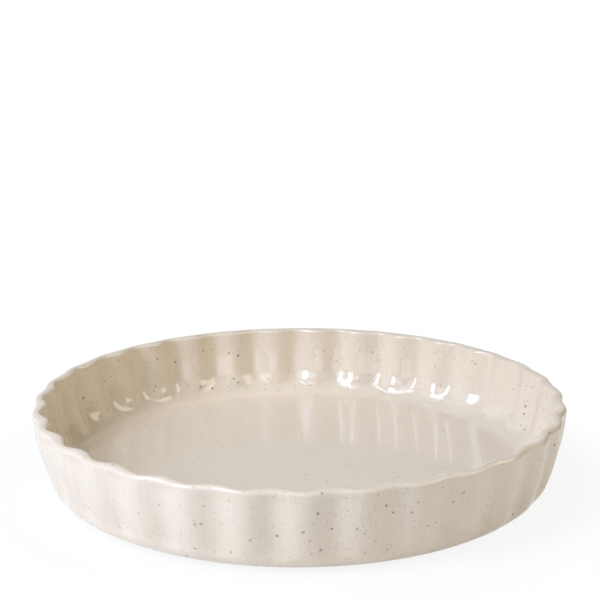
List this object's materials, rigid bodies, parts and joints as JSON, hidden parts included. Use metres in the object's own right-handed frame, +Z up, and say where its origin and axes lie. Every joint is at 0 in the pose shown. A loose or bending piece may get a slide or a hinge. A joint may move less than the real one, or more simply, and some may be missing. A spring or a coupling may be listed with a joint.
{
  "type": "fluted quiche dish",
  "caption": "Shallow round baking dish with a fluted wall, rounded lip and corner, flat floor and a bare foot ring, in speckled glazed stoneware.",
  "frame": {"origin": "on the surface that the dish stands on, under the centre of the foot ring", "axes": "+Z up along the dish's axis, out of its mouth; +X and +Y each pass through the crest of a flute"},
  "size_m": [0.2982, 0.2982, 0.0474],
  "materials": {
    "stoneware": "bare fired clay, matte, fine speckle",
    "glaze": "glossy cream glaze with sparse iron speckle"
  },
  "bodies": {
    "root": {"stoneware_body": "stoneware", "glaze_coat": "glaze", "base_glaze": "glaze"}
  },
  "joints": []
}
